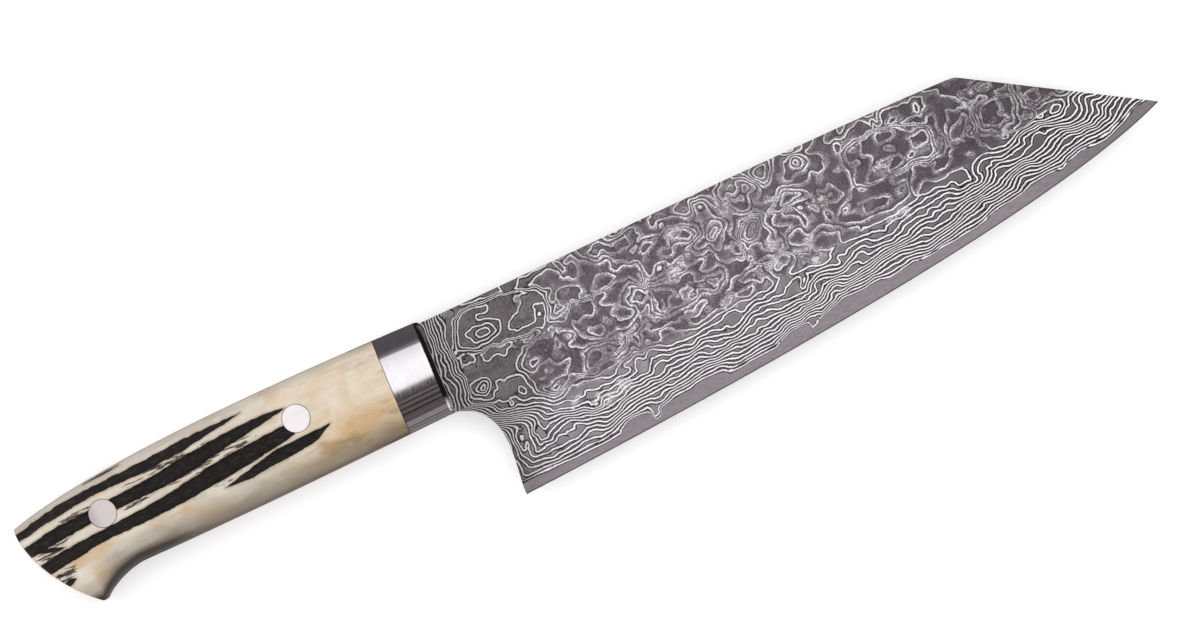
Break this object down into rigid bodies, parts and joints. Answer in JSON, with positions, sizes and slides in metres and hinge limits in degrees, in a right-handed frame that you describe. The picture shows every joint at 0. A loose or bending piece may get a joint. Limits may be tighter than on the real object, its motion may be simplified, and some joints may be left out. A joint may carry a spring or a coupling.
{
  "type": "bunka knife",
  "caption": "Bunka kitchen knife: laminated blade with an angled clip point, full tang, polished bolsters, jigged bone scales and flush rivets.",
  "frame": {"origin": "centre of the underside of the knife's bounding box, with the knife lying on its left side", "axes": "+X along the spine to the point, +Y from the cutting edge to the spine, +Z out of the right side of the blade"},
  "size_m": [0.2972, 0.0504, 0.018],
  "materials": {
    "core_steel": "satin",
    "damascus_steel": "satin",
    "polished_steel": "polished",
    "rivet_steel": "polished",
    "jigged_bone": "satin"
  },
  "bodies": {
    "root": {"blade_core": "core_steel", "cladding_right": "damascus_steel", "cladding_left": "damascus_steel", "bolster_right": "polished_steel", "bolster_left": "polished_steel", "bolster_pin_upper": "core_steel", "bolster_pin_lower": "core_steel", "scale_right": "jigged_bone", "scale_left": "jigged_bone", "rivet_front_sleeve": "rivet_steel", "rivet_front_stud": "rivet_steel", "rivet_rear_sleeve": "rivet_steel", "rivet_rear_stud": "rivet_steel"}
  },
  "joints": []
}
